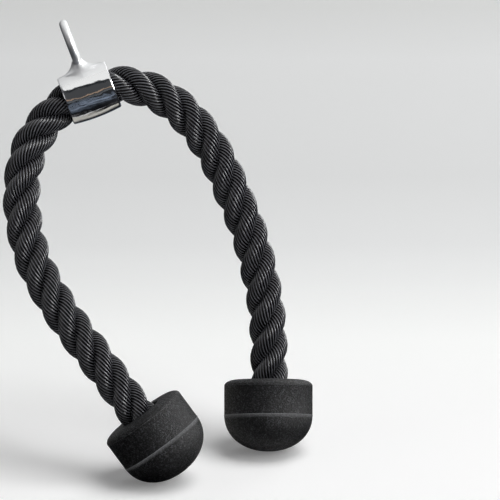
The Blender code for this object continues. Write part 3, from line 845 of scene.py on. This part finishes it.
# the studio: a pale floor that runs to the top of the picture, a soft key from the front right, a soft top
# light, a lamp on the right that only adds shine, a little light from behind and from the left, and a room
# that the chrome mirrors
studio = {
    "floorHeight": cadBox[0][2],
    "floorSize": 12.0,
    "floorNear": "#F8F8F8",
    "floorMiddle": "#F8F9F8",
    "floorBehind": "#E4E5E5",
    "floorBack": "#DEDFDF",
    "floorFar": "#E4E5E5",
    "floorEnd": "#DDDEDD",
    "floorRun": 1.2,  # its tones, a painted shade that is darker further back, run this far back from the object
    "floorLift": 0.16,  # what the camera sees on top of the lamps' light
    "fill": 0.06,
    "mirroredRun": (-0.5, 0.7),  # how far the bands that chrome sees run, front to back
    "mottleScale": 9.0,
    "mottleEdge": (0.38, 0.62),
    "roomUneven": 0.2,
    "stripLean": 0.4,  # of the strip that the tilted barrel mirrors
    "backRise": (0.15, 0.4),  # where the room's back turns from low to high
    "roomTop": "#F6F6F5",
    "roomBack": "#F0F0F0",
    "roomBackLow": "#77787B",
    "roomLeft": "#626367",
    "roomRight": "#DCDCDC",
    "roomEdge": "#2A2C2F",
    "roomDark": "#464749",
    "roomCopper": "#A08A78",
    "roomSlate": "#5D6064",
    "floorGlare": "#F6F6F6",
    "floorCream": "#DCD9D1",
    "floorShade": "#16171A",
    "floorSlate": "#8490A2",
    "floorBrown": "#34363B",
    "floorDim": "#26272A",
}

# azimuth in degrees from +X, minus towards the viewer; level 1 shows white paper that faces it as white
lamps = {
    "key": {"azimuth": -36, "elevation": 30, "distance": 3.6, "size": 3.0, "level": 0.48, "glossy": False},
    "shine": {"azimuth": -4, "elevation": 22, "distance": 3.4, "size": 1.8, "level": 1.35, "diffuse": False},
    "back": {"azimuth": 60, "elevation": 20, "distance": 3.4, "size": 1.4, "level": 0.15},
    "top": {"azimuth": -5, "elevation": 70, "distance": 3.4, "size": 2.6, "level": 0.64, "glossy": False},
    "side": {"azimuth": -150, "elevation": 14, "distance": 3.0, "size": 1.4, "level": 0.05},
}


def floorMaterial():
    material, tree, output = startMaterial("studioPaper")
    place = addNode(tree, "ShaderNodeTexCoord").outputs["Object"]
    split = addNode(tree, "ShaderNodeSeparateXYZ", None, {"Vector": place})
    run = {"Value": split.outputs["Y"], "From Min": 0.0, "From Max": studio["floorRun"]}
    depth = addNode(tree, "ShaderNodeMapRange", None, run)
    tone = addNode(tree, "ShaderNodeValToRGB", None, {"Fac": depth.outputs["Result"]})
    # the paper's tones are painted shade, darker further back
    stops = (
        (0.0, "floorNear"),
        (0.17, "floorMiddle"),
        (0.37, "floorBehind"),
        (0.52, "floorBack"),
        (0.8, "floorFar"),
        (0.95, "floorEnd"),
    )
    setRamp(tone, [(where, hexColour(studio[name])) for where, name in stops])

    # what shiny surfaces see of it: a white line and a cream strip under the sleeve, dark round about, and
    # mottled slate further out
    clouds = {"Vector": place, "Scale": studio["mottleScale"], "Detail": 2.0}
    mottle = addNode(tree, "ShaderNodeTexNoise", None, clouds)
    low, high = studio["mottleEdge"]
    edges = {"Value": mottle.outputs["Fac"], "From Min": low, "From Max": high}
    patches = addNode(tree, "ShaderNodeMapRange", None, edges)
    slate, brown = hexColour(studio["floorSlate"]), hexColour(studio["floorBrown"])
    mottled = {"Factor": patches.outputs["Result"], "A": slate, "B": brown}
    farFloor = addNode(tree, "ShaderNodeMix", {"data_type": "RGBA"}, mottled)
    front, back = studio["mirroredRun"]
    mirrored = {"Value": split.outputs["Y"], "From Min": front, "From Max": back}
    near = addNode(tree, "ShaderNodeMapRange", None, mirrored)
    seen = addNode(tree, "ShaderNodeValToRGB", None, {"Fac": near.outputs["Result"]})
    bands = (
        (0.0, "floorShade"),
        (0.335, "floorShade"),
        (0.345, "floorGlare"),
        (0.36, "floorGlare"),
        (0.366, "roomEdge"),
        (0.37, "floorCream"),
        (0.45, "floorCream"),
        (0.53, "floorDim"),
    )
    setRamp(seen, [(where, hexColour(studio[name])) for where, name in bands])
    shiny = seen.outputs["Color"]
    # each mask covers what is there so far with the next colour: axis, shift, and from where to where it
    # comes in on both sides
    masks = (
        ("X", -0.06, 0.09, 0.12, hexColour(studio["floorDim"])),
        ("Y", 0.0, 0.2, 0.45, farFloor.outputs["Result"]),
        ("X", -0.1, 0.28, 0.45, hexColour(studio["roomEdge"])),
    )
    for axis, shift, low, high, over in masks:
        aside = addNode(tree, "ShaderNodeMath", {"operation": "ADD"}, {0: split.outputs[axis], 1: shift})
        wide = addNode(tree, "ShaderNodeMath", {"operation": "ABSOLUTE"}, {0: aside.outputs[0]})
        between = {"Value": wide.outputs[0], "From Min": low, "From Max": high}
        share = addNode(tree, "ShaderNodeMapRange", None, between)
        cover = {"Factor": share.outputs["Result"], "A": shiny, "B": over}
        shiny = addNode(tree, "ShaderNodeMix", {"data_type": "RGBA"}, cover).outputs["Result"]
    rays = addNode(tree, "ShaderNodeLightPath")
    byRay = {"Factor": rays.outputs["Is Glossy Ray"], "A": tone.outputs["Color"], "B": shiny}
    colour = addNode(tree, "ShaderNodeMix", {"data_type": "RGBA"}, byRay)
    paper = addNode(tree, "ShaderNodeBsdfDiffuse", None, {"Color": colour.outputs["Result"]})
    lifted = {0: rays.outputs["Is Camera Ray"], 1: studio["floorLift"]}
    lift = addNode(tree, "ShaderNodeMath", {"operation": "MULTIPLY"}, lifted)
    light = {"Color": tone.outputs["Color"], "Strength": lift.outputs[0]}
    glow = addNode(tree, "ShaderNodeEmission", None, light)
    both = addNode(tree, "ShaderNodeAddShader", None, {0: paper.outputs["BSDF"], 1: glow.outputs["Emission"]})
    tree.links.new(both.outputs["Shader"], output.inputs["Surface"])
    return material


def makeFloor():
    bm = bmesh.new()
    bmesh.ops.create_grid(bm, x_segments=2, y_segments=2, size=studio["floorSize"] / 2)
    bmesh.ops.translate(bm, vec=(0, 0, studio["floorHeight"]), verts=bm.verts)
    floor = bpy.data.objects.new("floor", bmeshToMesh(bm, "floor"))
    floor.data.materials.append(floorMaterial())
    bpy.context.collection.objects.link(floor)


def makeWorld():
    world = bpy.data.worlds.new("studio")
    bpy.context.scene.world = world
    world.use_nodes = True
    tree = world.node_tree
    tree.nodes.clear()
    rays = addNode(tree, "ShaderNodeLightPath")
    place = addNode(tree, "ShaderNodeTexCoord").outputs["Generated"]
    split = addNode(tree, "ShaderNodeSeparateXYZ", None, {"Vector": place})

    # the room seen past the camera, by the height of the direction, a little uneven
    clouds = {"Vector": place, "Scale": studio["mottleScale"], "Detail": 2.0}
    uneven = addNode(tree, "ShaderNodeTexNoise", None, clouds)
    wavy = {0: uneven.outputs["Fac"], 1: studio["roomUneven"], 2: split.outputs["Z"]}
    height = addNode(tree, "ShaderNodeMath", {"operation": "MULTIPLY_ADD"}, wavy)
    centred = {0: height.outputs[0], 1: -studio["roomUneven"] / 2}  # a noise's mean is a half
    level = addNode(tree, "ShaderNodeMath", {"operation": "ADD"}, centred)
    front = addNode(tree, "ShaderNodeValToRGB", None, {"Fac": level.outputs[0]})
    stops = (
        (0.0, "roomSlate"),
        (0.11, "roomEdge"),
        (0.13, "roomCopper"),
        (0.18, "roomCopper"),
        (0.21, "roomDark"),
        (0.66, "roomDark"),
        (0.7, "roomEdge"),
    )
    setRamp(front, [(where, hexColour(studio[name])) for where, name in stops])
    low, high = studio["backRise"]
    upwards = {"Value": split.outputs["Z"], "From Min": low, "From Max": high}
    rise = addNode(tree, "ShaderNodeMapRange", None, upwards)
    backLow, backHigh = hexColour(studio["roomBackLow"]), hexColour(studio["roomBack"])
    wall = {"Factor": rise.outputs["Result"], "A": backLow, "B": backHigh}
    behind = addNode(tree, "ShaderNodeMix", {"data_type": "RGBA"}, wall)
    # how far a direction lies right of the strip that the tilted barrel mirrors
    lean = {0: split.outputs["Z"], 1: studio["stripLean"], 2: split.outputs["X"]}
    right = addNode(tree, "ShaderNodeMath", {"operation": "MULTIPLY_ADD"}, lean)
    left = addNode(tree, "ShaderNodeMath", {"operation": "MULTIPLY"}, {0: right.outputs[0], 1: -1.0})
    # each layer covers the room so far as its value and the height pass through their two ranges
    layers = (
        (right.outputs[0], 0.43, 0.55, 0.05, 0.3, hexColour(studio["roomRight"])),
        (left.outputs[0], 0.2, 0.32, 0.05, 0.3, hexColour(studio["roomLeft"])),
        (split.outputs["Y"], 0.0, 0.4, -0.1, 0.0, behind.outputs["Result"]),
        (split.outputs["Z"], 0.765, 0.785, -0.1, 0.0, hexColour(studio["roomTop"])),
    )
    room = front.outputs["Color"]
    for value, low, high, bottom, top, over in layers:
        between = {"Value": value, "From Min": low, "From Max": high}
        share = addNode(tree, "ShaderNodeMapRange", None, between)
        upwards = {"Value": split.outputs["Z"], "From Min": bottom, "From Max": top}
        risen = addNode(tree, "ShaderNodeMapRange", None, upwards)
        shares = {0: share.outputs["Result"], 1: risen.outputs["Result"]}
        both = addNode(tree, "ShaderNodeMath", {"operation": "MULTIPLY"}, shares)
        cover = {"Factor": both.outputs[0], "A": room, "B": over}
        room = addNode(tree, "ShaderNodeMix", {"data_type": "RGBA"}, cover).outputs["Result"]
    white, far = hexColour("#FFFFFF"), hexColour(studio["floorFar"])
    plain = addNode(tree, "ShaderNodeBackground", None, {"Color": white, "Strength": studio["fill"]})
    shiny = addNode(tree, "ShaderNodeBackground", None, {"Color": room, "Strength": 1.0})
    seen = addNode(tree, "ShaderNodeBackground", None, {"Color": far, "Strength": 1.0})
    # plain fill for the light, the painted room for shine, and the floor's far tone for the camera
    shine = {0: rays.outputs["Is Glossy Ray"], 1: plain.outputs["Background"], 2: shiny.outputs["Background"]}
    glossy = addNode(tree, "ShaderNodeMixShader", None, shine)
    shown = {0: rays.outputs["Is Camera Ray"], 1: glossy.outputs["Shader"], 2: seen.outputs["Background"]}
    everything = addNode(tree, "ShaderNodeMixShader", None, shown)
    output = addNode(tree, "ShaderNodeOutputWorld")
    tree.links.new(everything.outputs["Shader"], output.inputs["Surface"])


def addLamp(name, target):
    look = lamps[name]
    lamp = bpy.data.lights.new(name, "AREA")
    lamp.shape, lamp.size = "DISK", look["size"]
    lamp.energy = look["level"] * (pi * look["distance"]) ** 2
    holder = bpy.data.objects.new(name, lamp)
    bpy.context.collection.objects.link(holder)
    holder.visible_camera = False
    holder.visible_glossy = look.get("glossy", True)  # the key and the top leave the shine to the others
    holder.visible_diffuse = look.get("diffuse", True)
    turn, rise = radians(look["azimuth"]), radians(look["elevation"])
    away = Vector((cos(turn) * cos(rise), sin(turn) * cos(rise), sin(rise)))
    facing = away.to_track_quat("Z", "Y").to_matrix().to_4x4()
    holder.matrix_world = Matrix.Translation(target + away * look["distance"]) @ facing


makeFloor()
makeWorld()
for lampName in lamps:
    addLamp(lampName, archPlace @ Vector((*view["centre"], 0)))
bpy.context.scene.view_settings.view_transform = "Standard"
print("studio lit")
